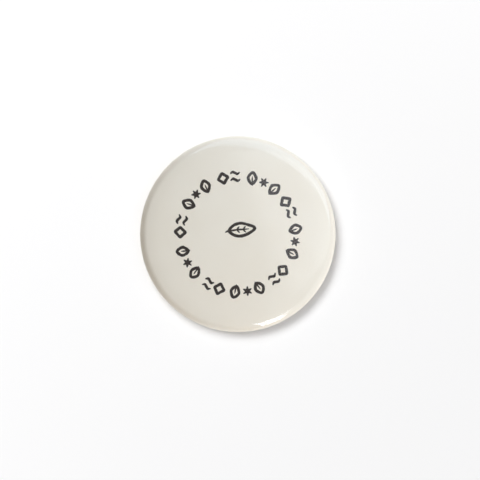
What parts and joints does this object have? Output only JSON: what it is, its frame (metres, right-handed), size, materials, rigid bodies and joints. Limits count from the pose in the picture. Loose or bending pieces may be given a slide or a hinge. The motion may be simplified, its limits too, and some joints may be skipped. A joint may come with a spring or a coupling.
{
  "type": "button badge",
  "caption": "Round pin-back button badge with a domed, film-covered printed face, a pressed metal back plate and a hinged safety pin.",
  "frame": {"origin": "middle of the badge's round outline, on the flat surface that its rim rests on", "axes": "+Z out of the printed face, +X along the safety pin from its cap to its coil, +Y towards the top of the printed face"},
  "size_m": [0.058, 0.058, 0.0064],
  "materials": {
    "film": "clear glossy polyester film",
    "paper": "cream printed paper with dark brown-black marks",
    "shell_tinplate": "bright tinplate",
    "plate_tinplate": "satin tinplate with light handling marks",
    "pin_steel": "nickel-plated spring wire",
    "cap_steel": "nickel-plated pressed sheet"
  },
  "bodies": {
    "badge": {"clear_film": "film", "printed_disc": "paper", "front_shell": "shell_tinplate", "back_plate": "plate_tinplate"},
    "safety_pin": {"pin_wire": "pin_steel", "pin_cap": "cap_steel"},
    "pin_arm": {"pin_arm": "pin_steel"}
  },
  "joints": [
    {"name": "pin_flip", "type": "hinge", "parent": "badge", "child": "safety_pin", "pos_m": [0, 0.002, 0.00215], "axis": [1, 0, 0], "range_deg": [0, 70]},
    {"name": "pin_open", "type": "hinge", "parent": "safety_pin", "child": "pin_arm", "pos_m": [0.014, 0, 0.00115], "axis": [0, 0, 1], "range_deg": [0, 40]}
  ]
}
